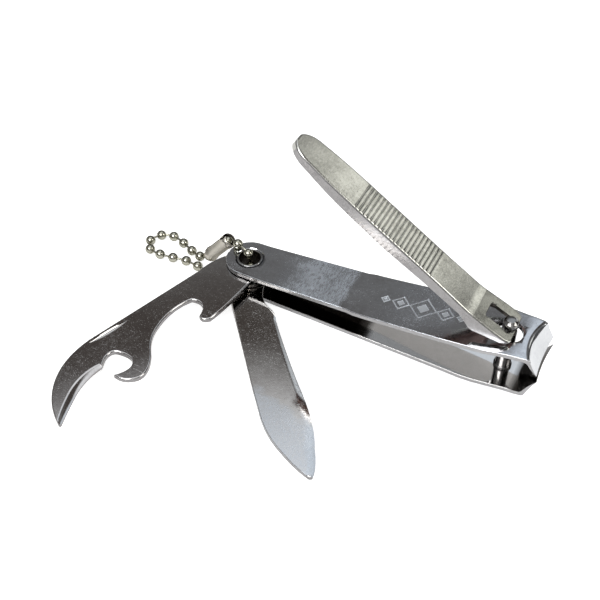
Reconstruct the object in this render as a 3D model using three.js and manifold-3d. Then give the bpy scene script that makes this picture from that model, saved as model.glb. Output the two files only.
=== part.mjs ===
// A large nail clipper with a folding bottle and can opener, a folding knife and a bead chain.
//
// Clipper coordinates, in millimetres: x runs from the eyelet's axis towards the jaws, y across
// the leaves, z up from the lower leaf's underside. The last lines move the whole clipper so that
// the origin is the centre of the flat foot of the pivot post.
//
// The two leaves are riveted by the eyelet at the rear and bow apart towards the jaws. The pivot
// post goes through both leaves, and the lever hooks under its head. The opener and the knife turn
// on the eyelet between the leaves, and the bead chain runs through it.

import * as THREE from 'three';
import { mergeVertices } from 'three/addons/utils/BufferGeometryUtils.js';
import Module from 'manifold-3d';

const wasm = await Module();
wasm.setup();

const deg = THREE.MathUtils.degToRad;
const V2 = (x, y) => new THREE.Vector2(x, y);
const V3 = (x, y, z) => new THREE.Vector3(x, y, z);

// Driving dimensions

const POST_X = 62.8; // eyelet axis to post axis
const LEAF_THICK = 1.1;
const LEAF_REAR_R = 5.6; // round rear end of both leaves
const LEAF_MID_W = 6.4; // half width where the upper leaf steps out
const LEAF_MAX_W = 7.3; // half width behind the post
const LEAF_JAW_W = 5.95; // half width at the jaws
const STEP_X = 28.5;
const STEP_OUT = 0.25;
const UPPER_TOP_Z = 6.35; // top of the upper leaf over the rivet
const EDGE_CHAMFER = 0.16;

const EYELET_BORE_R = 2.45;
const EYELET_WALL_R = 2.72;
const EYELET_RIM_R = 3.05;
const TOOL_BORE_R = 3.0;

const KNIFE_BASE_Z = 1.35;
const KNIFE_THICK = 1.15;
const WASHER_BASE_Z = 2.75;
const WASHER_THICK = 0.8;
const OPENER_BASE_Z = 3.8;
const OPENER_THICK = 1.2;

const POST_R = 1.7;
const POST_TOP_Z = 15.3;
const FOOT_R = 2.6;
const FOOT_BASE_Z = -0.9;
const NOTCH_BASE_Z = 11.9;
const NOTCH_TOP_Z = 13.5;

const LEVER_THICK = 0.9;
const LEVER_FRONT = V2(64.2, 12.9); // x and z of the top edge that hooks under the post's head
const LEVER_BEND = V2(54.5, 17.7);
const LEVER_SLOPE = deg(34.1);
const LEVER_LENGTH = 61.0; // along the top, from the front edge to the far end

const BALL_R = 1.2;
const BALL_WALL = 0.26;
const BALL_HOLE_R = 0.4;
const LINK_WIRE_R = 0.22;
const LINK_HEAD_R = 0.43;
const CONNECTOR_TURN = deg(-60); // which way the connector's slot faces

// Boolean cuts

function solidOf(geometry) {
  const bare = geometry.clone();
  bare.deleteAttribute('normal');
  bare.deleteAttribute('uv');
  const merged = mergeVertices(bare, 1e-5);
  const mesh = new wasm.Mesh({
    numProp: 3,
    vertProperties: new Float32Array(merged.attributes.position.array),
    triVerts: new Uint32Array(merged.index.array),
  });
  return new wasm.Manifold(mesh);
}

function geometryOf(solid) {
  const mesh = solid.getMesh();
  const geometry = new THREE.BufferGeometry();
  geometry.setAttribute('position', new THREE.BufferAttribute(new Float32Array(mesh.vertProperties), 3));
  geometry.setIndex(new THREE.BufferAttribute(new Uint32Array(mesh.triVerts), 1));
  return geometry;
}

function cut(geometry, ...tools) {
  let solid = solidOf(geometry);
  for (const tool of tools) solid = solid.subtract(solidOf(tool));
  return geometryOf(solid);
}

// Plain shapes

function boxBetween(low, high) {
  const geometry = new THREE.BoxGeometry(high.x - low.x, high.y - low.y, high.z - low.z);
  return geometry.translate((low.x + high.x) / 2, (low.y + high.y) / 2, (low.z + high.z) / 2);
}

// A round body about the vertical line at x, from its half section as [radius, z] points.
function turned(section, x, segments) {
  const points = section.map(([r, z]) => V2(r, z));
  const geometry = new THREE.LatheGeometry(points, segments);
  return geometry.rotateX(Math.PI / 2).translate(x, 0, 0);
}

function drill(x, radius, lowZ, highZ, segments) {
  return turned([[0, lowZ], [radius, lowZ], [radius, highZ], [0, highZ]], x, segments);
}

// A countersink that opens upwards (way 1) or downwards (way -1) from the edge of a bore.
function countersink(x, boreR, startZ, depth, widen, way, segments) {
  const past = 0.4;
  const flare = widen / depth;
  const section = [[0, startZ], [boreR, startZ], [boreR + (depth + past) * flare, startZ + way * (depth + past)],
    [0, startZ + way * (depth + past)]];
  return turned(way > 0 ? section : section.reverse(), x, segments);
}

function plate(shape, baseZ, thick, edge) {
  const geometry = new THREE.ExtrudeGeometry(shape, {
    depth: thick - 2 * edge, steps: 1, curveSegments: 10,
    bevelEnabled: true, bevelSize: edge, bevelThickness: edge, bevelOffset: -edge, bevelSegments: 1,
  });
  return geometry.translate(0, 0, baseZ + edge);
}

// A closed slab between two grids of points, outer[row][column] and inner[row][column].
function slab(outer, inner) {
  const rows = outer.length;
  const columns = outer[0].length;
  const positions = [];
  for (const grid of [outer, inner]) {
    for (const row of grid) for (const p of row) positions.push(p.x, p.y, p.z);
  }
  const at = (side, row, column) => side * rows * columns + row * columns + column;
  const index = [];
  const quad = (a, b, c, d) => index.push(a, b, c, a, c, d);
  for (let r = 0; r < rows - 1; r++) {
    for (let c = 0; c < columns - 1; c++) {
      quad(at(0, r, c), at(0, r + 1, c), at(0, r + 1, c + 1), at(0, r, c + 1));
      quad(at(1, r, c), at(1, r, c + 1), at(1, r + 1, c + 1), at(1, r + 1, c));
    }
    quad(at(0, r, 0), at(1, r, 0), at(1, r + 1, 0), at(0, r + 1, 0));
    quad(at(0, r, columns - 1), at(0, r + 1, columns - 1), at(1, r + 1, columns - 1), at(1, r, columns - 1));
  }
  for (let c = 0; c < columns - 1; c++) {
    quad(at(0, 0, c), at(0, 0, c + 1), at(1, 0, c + 1), at(1, 0, c));
    quad(at(0, rows - 1, c), at(1, rows - 1, c), at(1, rows - 1, c + 1), at(0, rows - 1, c + 1));
  }
  const geometry = new THREE.BufferGeometry();
  geometry.setAttribute('position', new THREE.Float32BufferAttribute(positions, 3));
  geometry.setIndex(index);
  return facingOut(geometry);
}

function facingOut(geometry) {
  const p = geometry.attributes.position;
  const index = geometry.index.array;
  const corners = [V3(0, 0, 0), V3(0, 0, 0), V3(0, 0, 0)];
  let volume = 0;
  for (let i = 0; i < index.length; i += 3) {
    corners.forEach((corner, k) => corner.fromBufferAttribute(p, index[i + k]));
    volume += corners[0].dot(corners[1].clone().cross(corners[2])) / 6;
  }
  if (volume > 0) return geometry;
  const turnedIndex = Array.from(index);
  for (let i = 0; i < turnedIndex.length; i += 3) {
    [turnedIndex[i + 1], turnedIndex[i + 2]] = [turnedIndex[i + 2], turnedIndex[i + 1]];
  }
  geometry.setIndex(turnedIndex);
  return geometry;
}

// The integral of a ramp that rises from 0 at start to 1 at end, for smooth changes of slope.
function ramp(x, start, end) {
  if (x <= start) return 0;
  if (x >= end) return x - (start + end) / 2;
  return (x - start) ** 2 / (2 * (end - start));
}

// Linear interpolation in a list of [place, value] pairs.
function along(pairs, place) {
  const last = pairs.length - 1;
  if (place <= pairs[0][0]) return pairs[0][1];
  for (let i = 0; i < last; i++) {
    const [a, va] = pairs[i];
    const [b, vb] = pairs[i + 1];
    if (place <= b) return va + ((vb - va) * (place - a)) / (b - a);
  }
  return pairs[last][1];
}

// The leaves

const upperTopZ = (x) =>
  UPPER_TOP_Z + 0.06 * ramp(x, 0, 5) + 0.054 * ramp(x, 26, 36) - 0.07 * ramp(x, 58, 66);

function leafHalfWidth(x, stepped) {
  if (x < 0) return Math.sqrt(LEAF_REAR_R ** 2 - x ** 2);
  const step = stepped ? along([[STEP_X - 0.8, 0], [STEP_X + 0.8, STEP_OUT]], x) : 0;
  const plain = along([[0, LEAF_REAR_R], [STEP_X, LEAF_MID_W], [51, 7.1], [55.5, LEAF_MAX_W], [58, 7.2],
    [64.5, 6.4], [68, LEAF_JAW_W + 0.1], [71, LEAF_JAW_W]], x);
  return Math.min(plain + step, LEAF_MAX_W);
}

// Where the columns of a leaf's grid lie, as shares of its half width, with a chamfer at each edge.
function leafColumns(halfWidth) {
  const edge = Math.max(1 - EDGE_CHAMFER / halfWidth, 0.9);
  return [-1, -edge, -0.8, -0.6, -0.4, -0.2, 0, 0.2, 0.4, 0.6, 0.8, edge, 1];
}

// A sprung leaf: its outer face follows outerZ(x), and the jaw at its front turns inwards.
// inward is -1 for the upper leaf and 1 for the lower one. The crease and the cutting edge both
// bow backwards in the middle, which makes the jaw's face hollow.
function leaf({ outerZ, inward, stepped, creaseX, edgeX, edgeZ }) {
  const outer = [];
  const inner = [];
  const creaseBow = 1.35;
  const edgeBow = 0.4;

  // outerAt and innerAt give the two faces' x and z at a share of the half width.
  function addRow(width, outerAt, innerAt) {
    const outerRow = [];
    const innerRow = [];
    for (const share of leafColumns(width)) {
      const from = outerAt(share);
      const to = innerAt(share);
      const thick = from.distanceTo(to);
      const inset = Math.abs(share) === 1 ? Math.min(EDGE_CHAMFER / thick, 0.3) : 0;
      const place = (p) => V3(p.x, share * width, p.y);
      outerRow.push(place(from.clone().lerp(to, inset)));
      innerRow.push(place(to.clone().lerp(from, inset)));
    }
    outer.push(outerRow);
    inner.push(innerRow);
  }

  function plainRow(x) {
    const slope = Math.atan2(outerZ(x + 0.1) - outerZ(x - 0.1), 0.2);
    const from = V2(x, outerZ(x));
    const to = V2(x - inward * Math.sin(slope) * LEAF_THICK, from.y + inward * Math.cos(slope) * LEAF_THICK);
    addRow(leafHalfWidth(x, stepped), () => from, () => to);
  }
  for (let turn = 8; turn < 90; turn += 12) plainRow(-LEAF_REAR_R * Math.cos(deg(turn)));
  const places = [0, 3, 6, 10, 14, 19, 24, STEP_X - 0.8, STEP_X + 0.8, 33, 37, 42, 47, 51, 55.5, 58, 61, 64.5];
  places.forEach(plainRow);

  // The jaw: points before the bend, from the crease inwards, then points down the hollow face.
  const creaseZ = outerZ(creaseX);
  const drop = Math.abs(creaseZ - edgeZ);
  const nearCrease = (back, deep, bow = creaseBow) => (share) =>
    V2(creaseX - back + bow * share ** 2, creaseZ + inward * deep);
  const onFace = (down, thick) => (share) => {
    const run = edgeX - creaseX - (creaseBow - edgeBow) * share ** 2;
    const tilt = Math.atan2(drop, run);
    const hollow = 0.14 * Math.sin(Math.PI * down);
    const x = creaseX + creaseBow * share ** 2 + run * down - hollow;
    return V2(x - Math.sin(tilt) * thick, creaseZ + inward * (drop * down + Math.cos(tilt) * thick));
  };
  const bendWidth = leafHalfWidth(creaseX, stepped);
  const edgeWidth = leafHalfWidth(edgeX, stepped);
  addRow(bendWidth + 0.15, nearCrease(1.7, 0, 0.9), nearCrease(1.7, LEAF_THICK, 0.9));
  addRow(bendWidth, nearCrease(0.45, 0), nearCrease(1.1, LEAF_THICK));
  addRow(bendWidth, nearCrease(0.08, 0.1), nearCrease(0.88, LEAF_THICK + 0.06));
  addRow(bendWidth, onFace(0.05, 0), onFace(0.22, 0.92));
  addRow(bendWidth, onFace(0.3, 0), onFace(0.4, 0.8));
  addRow(edgeWidth, onFace(0.55, 0), onFace(0.6, 0.6));
  addRow(edgeWidth, onFace(0.8, 0), onFace(0.82, 0.36));
  addRow(edgeWidth, onFace(1, 0), onFace(1, 0.14));
  return slab(outer, inner);
}

// Four sunk lozenges: a plain ornament on the upper leaf, between the step and the lever's root.
function ornamentCutters() {
  const centreX = 44;
  const sink = 0.13;
  const cutters = [];
  for (let i = -1; i <= 1; i++) {
    const reach = i === 0 ? 2.7 : 1.7;
    const x = centreX + i * 5.2;
    const ring = new THREE.Shape([V2(x - reach, 0), V2(x, -reach), V2(x + reach, 0), V2(x, reach)]);
    const inside = reach - 0.55;
    ring.holes.push(new THREE.Path([V2(x - inside, 0), V2(x, inside), V2(x + inside, 0), V2(x, -inside)]));
    const core = new THREE.Shape([V2(x - 0.6, 0), V2(x, -0.6), V2(x + 0.6, 0), V2(x, 0.6)]);
    for (const shape of [ring, core]) {
      const prism = new THREE.ExtrudeGeometry(shape, { depth: 2, bevelEnabled: false });
      const lean = Math.atan2(upperTopZ(x + 1) - upperTopZ(x - 1), 2);
      prism.translate(-x, 0, 0).rotateY(-lean).translate(x, 0, upperTopZ(x) - sink);
      cutters.push(prism);
    }
  }
  return cutters;
}

function upperLeaf() {
  const blank = leaf({ outerZ: upperTopZ, inward: -1, stepped: true, creaseX: 68.0, edgeX: 70.95, edgeZ: 7.95 });
  const postHoleR = 3.05;
  return cut(
    blank,
    drill(0, 2.85, UPPER_TOP_Z - 3, UPPER_TOP_Z + 2, 40),
    countersink(0, 2.85, UPPER_TOP_Z - 0.6, 0.6, 0.62, 1, 40),
    drill(POST_X, postHoleR, upperTopZ(POST_X) - 4, upperTopZ(POST_X) + 3, 40),
    countersink(POST_X, postHoleR, upperTopZ(POST_X) - 0.3, 0.3, 0.35, 1, 40),
    ...ornamentCutters(),
  );
}

function lowerLeaf() {
  const blank = leaf({ outerZ: () => 0, inward: 1, stepped: false, creaseX: 68.1, edgeX: 71.3, edgeZ: 5.85 });
  return cut(
    blank,
    drill(0, 2.85, -2, 3, 40),
    countersink(0, 2.85, 0.6, 0.6, 0.62, -1, 40),
    drill(POST_X, POST_R + 0.12, -2, 3, 32),
  );
}

// The eyelet that rivets the leaves, and the washer between the two tools

function eyelet() {
  const high = UPPER_TOP_Z;
  return turned(
    [[EYELET_BORE_R, 0.1], [EYELET_BORE_R + 0.12, -0.08], [EYELET_RIM_R - 0.12, -0.12], [EYELET_RIM_R, 0.02],
      [EYELET_WALL_R, 0.6], [EYELET_WALL_R, high - 0.6], [EYELET_RIM_R, high - 0.06],
      [EYELET_RIM_R - 0.1, high + 0.1], [EYELET_BORE_R + 0.22, high + 0.14], [EYELET_BORE_R + 0.04, high + 0.04],
      [EYELET_BORE_R, high - 0.2], [EYELET_BORE_R, 0.1]],
    0, 32,
  );
}

function spacerWasher() {
  const top = WASHER_BASE_Z + WASHER_THICK;
  return turned([[3.0, WASHER_BASE_Z], [5.0, WASHER_BASE_Z], [5.0, top], [3.0, top], [3.0, WASHER_BASE_Z]], 0, 36);
}

// The pivot post, with its foot under the lower leaf and a mushroom head over the lever

function pivotPost() {
  const blank = turned(
    [[0, FOOT_BASE_Z], [FOOT_R - 0.25, FOOT_BASE_Z], [FOOT_R, FOOT_BASE_Z + 0.3], [FOOT_R, -0.06],
      [POST_R, -0.06], [POST_R, LEAF_THICK + 0.08], [2.0, LEAF_THICK + 0.08], [2.0, LEAF_THICK + 0.5],
      [POST_R, LEAF_THICK + 0.75], [POST_R, 14.5], [1.45, 15.05], [1.05, POST_TOP_Z], [0, POST_TOP_Z]],
    POST_X, 32,
  );
  const notch = boxBetween(V3(POST_X, -3, NOTCH_BASE_Z), V3(POST_X + 3, 3, NOTCH_TOP_Z));
  const sides = [-1, 1].map((side) => {
    const waist = boxBetween(V3(POST_X - 3, 1.3, NOTCH_BASE_Z + 0.2), V3(POST_X + 3, 3, NOTCH_TOP_Z - 0.1));
    return waist.translate(0, side < 0 ? -4.3 : 0, 0);
  });
  return cut(blank, notch, ...sides);
}

// The lever: a folded channel with a slot for the post, a bend, and file grooves across its back

function lever() {
  const frontSlope = Math.atan2(LEVER_BEND.y - LEVER_FRONT.y, LEVER_FRONT.x - LEVER_BEND.x);
  const frontLength = LEVER_FRONT.distanceTo(LEVER_BEND);
  const bendHalf = 0.9;

  // The top line at a distance from the front edge: its point and its slope.
  function topAt(distance) {
    const turn = along([[frontLength - bendHalf, 0], [frontLength + bendHalf, 1]], distance);
    const slope = frontSlope + (LEVER_SLOPE - frontSlope) * turn;
    const front = Math.min(distance, frontLength);
    const main = Math.max(distance - frontLength, 0);
    const soften = 0.035 * Math.max(0, 1 - Math.abs(distance - frontLength) / bendHalf);
    const x = LEVER_FRONT.x - front * Math.cos(frontSlope) - main * Math.cos(LEVER_SLOPE);
    const z = LEVER_FRONT.y + front * Math.sin(frontSlope) + main * Math.sin(LEVER_SLOPE) + soften;
    return { x, z, slope };
  }

  const halfWidth = [[0, 3.9], [0.5, 4.5], [1.4, 4.8], [4, 4.82], [10, 4.55], [20, 4.3], [44, 4.25], [50, 4.1],
    [54, 3.85], [56.5, 3.6], [58.3, 3.15], [59.5, 2.6], [60.4, 1.9], [LEVER_LENGTH, 1.2]];
  const depth = [[0, 0.95], [1.2, 1.15], [4.3, 2.2], [7.6, 3.5], [8.6, 3.55], [9.6, 3.0], [11.7, 2.15], [21.6, 2.55],
    [33.3, 3.1], [46.7, 2.7], [55, 2.1], [LEVER_LENGTH, 1.8]];
  const grooveStart = 21.5;
  const groovePitch = 1.06;
  const grooveCount = 21;
  const grooveDepth = 0.2;

  const outer = [];
  const inner = [];
  function addRow(distance, sink) {
    const { x, z, slope } = topAt(distance);
    const w = along(halfWidth, distance);
    const d = along(depth, distance);
    const t = LEVER_THICK;
    const place = (y, down) => V3(x - Math.sin(slope) * down, y, z - Math.cos(slope) * down);
    const corner = 0.45;
    const floor = Math.min(d, t);
    const rim = w - corner - 0.12;
    const sideIn = Math.max(w - t, 0.35);
    outer.push([place(-w, d), place(-w, corner), place(-w + corner * 0.3, corner * 0.3), place(-w + corner, 0),
      place(-rim + 0.1, sink), place(0, sink), place(rim - 0.1, sink), place(w - corner, 0),
      place(w - corner * 0.3, corner * 0.3), place(w, corner), place(w, d)]);
    const roof = floor - 0.02;
    inner.push([place(-sideIn, d), place(-sideIn, Math.min(t + 0.25, d - 0.02)), place(-sideIn, roof),
      place(-sideIn * 0.9, roof), place(-sideIn * 0.5, roof), place(0, roof), place(sideIn * 0.5, roof),
      place(sideIn * 0.9, roof), place(sideIn, roof), place(sideIn, Math.min(t + 0.25, d - 0.02)),
      place(sideIn, d)]);
  }

  for (const distance of [0, 0.5, 1.4, 4, 7.6, 8.6, 9.6, 10.3, 10.82, 11.4, 12.5, 16, 20]) addRow(distance, 0);
  for (let i = 0; i < grooveCount; i++) {
    const start = grooveStart + i * groovePitch;
    addRow(start, 0);
    addRow(start + 0.35 * groovePitch, grooveDepth);
    addRow(start + 0.65 * groovePitch, grooveDepth);
  }
  const grooveEnd = grooveStart + grooveCount * groovePitch;
  for (const distance of [grooveEnd, 46.7, 50, 52, 54, 56.5, 58.3, 59.5, 60.4, LEVER_LENGTH]) addRow(distance, 0);

  const barWidth = 0.95;
  const slotEnd = 7.4;
  const slotHalf = 2.1;
  const slot = boxBetween(V3(barWidth, -slotHalf, -4), V3(slotEnd, slotHalf, 3));
  slot.scale(-1, 1, 1);
  slot.rotateY(frontSlope).translate(LEVER_FRONT.x, 0, LEVER_FRONT.y);
  const slotSolid = slot.index.array;
  for (let i = 0; i < slotSolid.length; i += 3) {
    [slotSolid[i + 1], slotSolid[i + 2]] = [slotSolid[i + 2], slotSolid[i + 1]];
  }
  return cut(slab(outer, inner), slot);
}

// The folding tools

// A shape from straight and curved stretches: each entry is a point, or a quadratic curve as
// [control point, end point].
function outline(start, stretches) {
  const shape = new THREE.Shape();
  shape.moveTo(start[0], start[1]);
  for (const stretch of stretches) {
    if (stretch.length === 2 && typeof stretch[0] === 'number') shape.lineTo(stretch[0], stretch[1]);
    else shape.quadraticCurveTo(...stretch[0], ...stretch[1]);
  }
  return shape;
}

function withBore(shape) {
  const bore = new THREE.Path();
  bore.absarc(0, 0, TOOL_BORE_R, 0, Math.PI * 2, true);
  shape.holes.push(bore);
  return shape;
}

// A cutter that grinds a slope along a line of points at a plate's edge. The metal lies on the
// left of the line; width is how far the slope reaches into it, and drop how deep it goes at the
// edge. way is 1 for the top face and -1 for the underside.
function grinder(points, widths, faceZ, drop, way) {
  const beyond = 0.8;
  const rows = points.map((p, i) => {
    const before = points[Math.max(i - 1, 0)];
    const after = points[Math.min(i + 1, points.length - 1)];
    const left = V2(before[1] - after[1], after[0] - before[0]).normalize();
    const width = Math.max(widths[i], 0.05);
    const fall = drop * (1 + beyond / width);
    const insideEdge = V3(p[0] + left.x * width, p[1] + left.y * width, faceZ);
    const outsideLow = V3(p[0] - left.x * beyond, p[1] - left.y * beyond, faceZ - way * fall);
    const outsideHigh = outsideLow.clone().setZ(faceZ + way);
    const insideHigh = insideEdge.clone().setZ(faceZ + way);
    return { low: [insideEdge, outsideLow], high: [insideHigh, outsideHigh] };
  });
  return slab(rows.map((row) => row.high), rows.map((row) => row.low));
}

// A line of points along quadratic curves: start, then [control, end] pairs.
function curvePoints(start, pairs, count) {
  const points = [start];
  let from = V2(...start);
  for (const [control, end] of pairs) {
    const curve = new THREE.QuadraticBezierCurve(from, V2(...control), V2(...end));
    for (let i = 1; i <= count; i++) points.push(curve.getPoint(i / count).toArray());
    from = V2(...end);
  }
  return points;
}

function bottleOpener() {
  // Counter-clockwise from the near side of the eyelet, round the heel, along the straight back
  // to the claw, and back past the can hook and the bottle mouth.
  const shape = outline([4.6, 2.6], [
    [[3.4, 5.0], [0, 5.1]],
    [[-4.4, 5.0], [-6.3, -0.6]],
    [[-8.6, -3.6], [-9.3, -7.6]],
    [-19.9, -37.3],
    [[-22.0, -44.6], [-19.6, -50.6]],
    [[-17.0, -56.4], [-11.9, -59.4]],
    [[-12.6, -56.0], [-13.7, -51.0]],
    [[-14.5, -46.6], [-13.0, -42.4]],
    [-13.6, -40.5],
    [[-14.0, -37.9], [-12.3, -37.5]],
    [[-7.9, -36.9], [-7.5, -39.4]],
    [[-7.4, -41.2], [-9.4, -43.3]],
    [[-6.6, -44.2], [-4.4, -41.9]],
    [[-2.6, -39.6], [-5.3, -34.9]],
    [[-8.2, -31.2], [-8.4, -27.6]],
    [[-9.0, -21.0], [-6.0, -16.7]],
    [[-3.4, -15.9], [-2.3, -18.2]],
    [[-2.0, -19.4], [-1.95, -20.3]],
    [[-0.7, -21.6], [0.8, -19.9]],
    [[2.4, -14.0], [3.2, -5.4]],
    [[5.6, -1.2], [4.6, 2.6]],
  ]);
  const top = OPENER_BASE_Z + OPENER_THICK;
  const clawEdge = curvePoints([-11.9, -59.4], [
    [[-12.6, -56.0], [-13.7, -51.0]],
    [[-14.5, -46.6], [-13.0, -42.4]],
  ], 5);
  const clawWidths = clawEdge.map((_, i) => 0.5 + 1.1 * Math.sin((Math.PI * i) / (clawEdge.length - 1)));
  const nick = new THREE.Shape();
  nick.moveTo(-19.2, -38.2);
  nick.quadraticCurveTo(-16.3, -34.8, -15.4, -28.6);
  nick.quadraticCurveTo(-17.6, -33.2, -19.2, -38.2);
  const nickCutter = new THREE.ExtrudeGeometry(nick, { depth: 2, curveSegments: 8, bevelEnabled: false });
  return cut(
    plate(withBore(shape), OPENER_BASE_Z, OPENER_THICK, 0.14),
    grinder(clawEdge, clawWidths, top, 0.85, 1),
    nickCutter.translate(0, 0, top - 0.4),
  );
}

function knifeBlade() {
  // Counter-clockwise from the near side of the eyelet, down the spine to the tip, and back along
  // the ground edge.
  const spine = [[-4.9, -2.2], [-2.6, -6.9]];
  const edgeStart = [10.3, -9.1];
  const edgeCurves = [
    [[12.2, -10.0], [13.1, -11.9]],
    [[19.4, -19.4], [26.0, -26.2]],
    [[34.0, -34.0], [36.4, -39.6]],
    [[38.9, -43.6], [39.1, -46.1]],
  ];
  const back = edgeCurves.map(([control], i) => [control, i === 0 ? edgeStart : edgeCurves[i - 1][1]]);
  const shape = outline([5.2, -0.6], [
    [[5.2, 5.2], [0, 5.2]],
    [[-5.4, 5.0], [-5.2, -0.9]],
    [spine[0], spine[1]],
    [17.4, -31.3],
    [22.6, -37.4],
    [[26.0, -41.2], [30.2, -43.2]],
    [[34.6, -45.6], [38.4, -46.5]],
    [39.1, -46.1],
    ...back.reverse(),
    [[7.6, -8.2], [6.4, -5.6]],
    [[5.2, -3.2], [5.2, -0.6]],
  ]);
  const edge = curvePoints(edgeStart, edgeCurves, 5).reverse();
  const widths = edge.map((_, i) => along([[0, 2.0], [5, 2.7], [9, 1.5], [15, 0.9], [20, 0.5]], i));
  const top = KNIFE_BASE_Z + KNIFE_THICK;
  return cut(
    plate(withBore(shape), KNIFE_BASE_Z, KNIFE_THICK, 0.1),
    grinder(edge, widths, top, 0.5, 1),
    grinder(edge, widths, KNIFE_BASE_Z, 0.5, -1),
  );
}

// The bead chain: hollow balls on dumbbell links, closed by a slotted connector

// Ball centres in order. The first sits in the connector's lower end. The chain then lies in a
// loop, passes under the lower leaf, comes up through the eyelet, and crosses the rear of the
// upper leaf to the connector's upper end.
const CHAIN_CENTRES = [
  V3(-12.0, 1.8, 1.0), V3(-15.1, 1.7, -1.0), V3(-18.4, 3.2, -1.75), V3(-21.75, 4.8, -1.92),
  V3(-25.3, 5.95, -2.05), V3(-28.4, 5.05, -2.13), V3(-29.85, 2.2, -2.17), V3(-28.2, -0.6, -2.13),
  V3(-24.95, -1.15, -2.05), V3(-21.4, -0.85, -1.95), V3(-17.85, -0.45, -1.86), V3(-14.3, -0.9, -1.76),
  V3(-10.8, -1.4, -1.66), V3(-7.2, -1.3, -1.56), V3(-3.6, -0.8, -1.47), V3(-0.5, -0.2, -0.1),
  V3(0.1, 0.1, 3.4), V3(-0.7, 0.65, 6.85), V3(-4.1, 1.75, 7.6), V3(-7.35, 2.7, 6.5),
];
const LAST_BALL = CHAIN_CENTRES.length - 1;

// Turns a geometry made along +Y so that it runs from one point to another, centred between them.
function lieAlong(geometry, from, to) {
  const way = to.clone().sub(from).normalize();
  geometry.applyQuaternion(new THREE.Quaternion().setFromUnitVectors(V3(0, 1, 0), way));
  const middle = from.clone().add(to).divideScalar(2);
  return geometry.translate(middle.x, middle.y, middle.z);
}

function rodBetween(from, to, radius, segments) {
  return lieAlong(new THREE.CylinderGeometry(radius, radius, from.distanceTo(to), segments), from, to);
}

function chainBall(centre, neighbours) {
  const shell = new THREE.SphereGeometry(BALL_R, 12, 8).translate(centre.x, centre.y, centre.z);
  const hollow = new THREE.SphereGeometry(BALL_R - BALL_WALL, 8, 6).translate(centre.x, centre.y, centre.z);
  return cut(shell, hollow, ...neighbours.map((next) => rodBetween(centre, next, BALL_HOLE_R, 6)));
}

// A dumbbell link: its two heads sit inside the balls, and its wire runs out through their holes.
function chainLink(from, to) {
  const reach = from.distanceTo(to) / 2 - 0.3;
  const half = [[0, reach], [0.34, reach - 0.12], [LINK_HEAD_R, reach - 0.32], [LINK_WIRE_R, reach - 0.56]];
  const section = [...half.map(([r, y]) => V2(r, -y)), ...half.reverse().map(([r, y]) => V2(r, y))];
  return lieAlong(new THREE.LatheGeometry(section, 6), from, to);
}

// A sheet-metal tube with a bulb round each end ball. A slot runs along its side, and it widens
// into a window at each bulb, where the ball was pressed in. The links leave through the mouths.
function chainConnector() {
  const low = CHAIN_CENTRES[0];
  const high = CHAIN_CENTRES[LAST_BALL];
  const gap = high.distanceTo(low);
  const half = gap / 2 + 1.25;
  const wall = 0.28;
  const mouthR = 0.8;
  const bulbR = 1.85;
  const waistR = 1.62;
  const outside = [[mouthR + wall, -half], [bulbR - 0.3, -half + 0.45], [bulbR, -gap / 2], [waistR, -gap / 2 + 1.6],
    [waistR, gap / 2 - 1.6], [bulbR, gap / 2], [bulbR - 0.3, half - 0.45], [mouthR + wall, half]];
  const inside = outside.map(([r, y]) => [r - wall, y]).reverse();
  const tube = new THREE.LatheGeometry([...outside, ...inside, outside[0]].map(([r, y]) => V2(r, y)), 16);
  const slotHalf = 0.5;
  const slot = boxBetween(V3(0, -gap / 2, -slotHalf), V3(3, gap / 2, slotHalf));
  const windows = [-1, 1].map((end) =>
    new THREE.CylinderGeometry(1.05, 1.05, 3, 12).rotateZ(Math.PI / 2).translate(1.9, (end * gap) / 2, 0));
  const slotted = cut(tube, slot, ...windows);
  slotted.rotateY(CONNECTOR_TURN);
  const exits = [rodBetween(low, CHAIN_CENTRES[1], 0.62, 10), rodBetween(high, CHAIN_CENTRES[LAST_BALL - 1], 0.62, 10)];
  return cut(lieAlong(slotted, low, high), ...exits);
}

// The assembly

const CHROME = { color: 0xc9ccd0, metalness: 1, roughness: 0.12 };
const STEEL = { color: 0xb4b6b9, metalness: 1, roughness: 0.22 };
const NICKEL = { color: 0xbab6a8, metalness: 1, roughness: 0.38 };
const BEAD = { color: 0xc2bca9, metalness: 1, roughness: 0.24 };

const clipper = new THREE.Group();

function addPiece(name, geometry, look) {
  const piece = new THREE.Mesh(geometry, new THREE.MeshStandardMaterial(look));
  piece.name = name;
  clipper.add(piece);
}

addPiece('lower_jaw_leaf', lowerLeaf(), CHROME);
addPiece('upper_jaw_leaf', upperLeaf(), CHROME);
addPiece('rivet_eyelet', eyelet(), CHROME);
addPiece('spacer_washer', spacerWasher(), STEEL);
addPiece('pivot_post', pivotPost(), CHROME);
addPiece('press_lever', lever(), NICKEL);
addPiece('bottle_can_opener', bottleOpener(), STEEL);
addPiece('knife_blade', knifeBlade(), STEEL);
addPiece('chain_connector', chainConnector(), BEAD);

const number = (i) => String(i + 1).padStart(2, '0');
CHAIN_CENTRES.forEach((centre, i) => {
  const neighbours = [CHAIN_CENTRES[i - 1], CHAIN_CENTRES[i + 1]].filter(Boolean);
  addPiece(`chain_ball_${number(i)}`, chainBall(centre, neighbours), BEAD);
  if (i < LAST_BALL) addPiece(`chain_link_${number(i)}`, chainLink(centre, CHAIN_CENTRES[i + 1]), BEAD);
});

clipper.position.set(-POST_X, 0, -FOOT_BASE_Z);

export default clipper;
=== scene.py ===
"""Looks for a chromed nail clipper with a folding opener, a folding knife and a bead chain.

Shapes are made in clipper coordinates, in millimetres: x from the eyelet's axis towards the jaws,
y across the leaves, z up from the lower leaf's underside. place() turns them into the CAD's frame.
"""
from math import atan, atan2, cos, dist, hypot, pi, radians, sin, sqrt

import bmesh
import bpy
from mathutils import Matrix, Vector


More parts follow.
